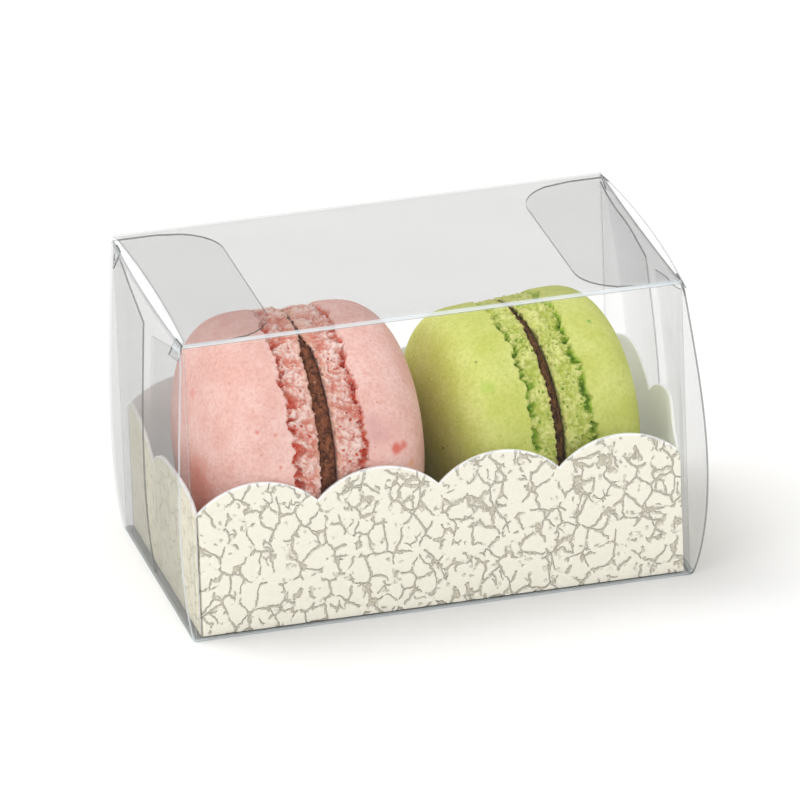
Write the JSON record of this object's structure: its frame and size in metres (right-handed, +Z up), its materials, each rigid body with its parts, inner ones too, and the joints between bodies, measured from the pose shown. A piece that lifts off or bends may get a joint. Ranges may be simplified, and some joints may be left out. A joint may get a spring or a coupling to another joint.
{
  "type": "clear carton of filled meringue cakes",
  "caption": "Small clear film carton, shut at both ends, with filled sandwich cakes standing in a scalloped card tray.",
  "frame": {"origin": "on the resting face, under the middle of the carton with its bulged ends", "axes": "+X along the carton's length, -Y towards the front, +Z up"},
  "size_m": [0.0866, 0.048, 0.05],
  "materials": {
    "clear_film": "clear glossy film 0.3 mm thick",
    "crackle_card": "cream card with an embossed crackle outside, plain white inside and on the cut edges",
    "pink_meringue": "baked almond meringue, matt and finely freckled, crumbly on the foot",
    "green_meringue": "baked almond meringue, matt and finely freckled, crumbly on the foot",
    "chocolate_filling": "soft chocolate cream, satin"
  },
  "bodies": {
    "root": {"film_carton": "clear_film", "card_tray": "crackle_card", "pink_left_shell": "pink_meringue", "pink_filling": "chocolate_filling", "pink_right_shell": "pink_meringue", "green_left_shell": "green_meringue", "green_filling": "chocolate_filling", "green_right_shell": "green_meringue"}
  },
  "joints": []
}
